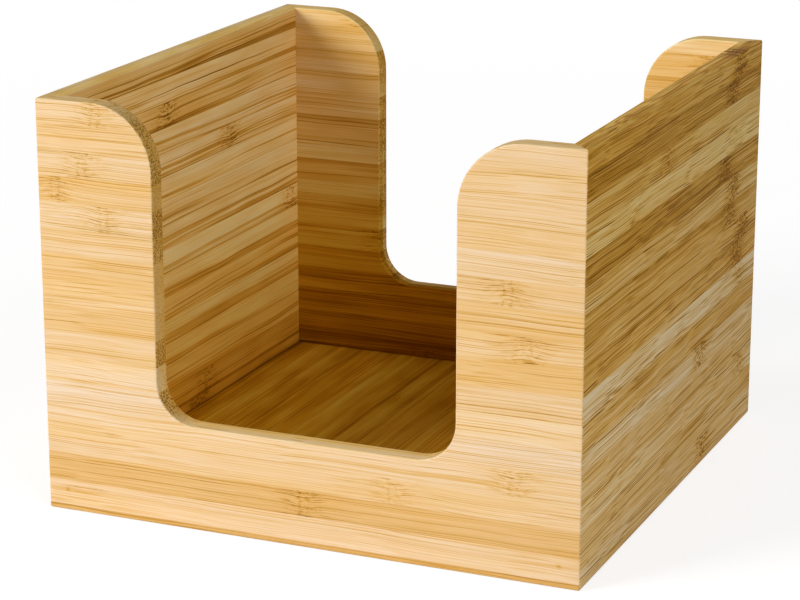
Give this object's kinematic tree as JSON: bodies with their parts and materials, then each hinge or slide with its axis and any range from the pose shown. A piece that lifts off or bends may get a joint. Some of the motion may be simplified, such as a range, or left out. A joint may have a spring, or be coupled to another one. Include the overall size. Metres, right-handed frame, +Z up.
{
  "type": "napkin holder",
  "caption": "Square open-top bamboo napkin box with mitred walls, a captured floor board and round-cornered U cut-outs in its front and back.",
  "frame": {"origin": "centre of the footprint, on the surface that the box stands on", "axes": "+X to the right along the front wall, +Y from the front wall to the back wall, +Z up through the open top"},
  "size_m": [0.18, 0.18, 0.134],
  "materials": {
    "wall_bamboo": "satin, side-pressed laminated bamboo, grain level",
    "floor_bamboo": "satin, side-pressed laminated bamboo, grain front to back"
  },
  "bodies": {
    "root": {"front_panel": "wall_bamboo", "back_panel": "wall_bamboo", "left_panel": "wall_bamboo", "right_panel": "wall_bamboo", "floor_panel": "floor_bamboo"}
  },
  "joints": []
}
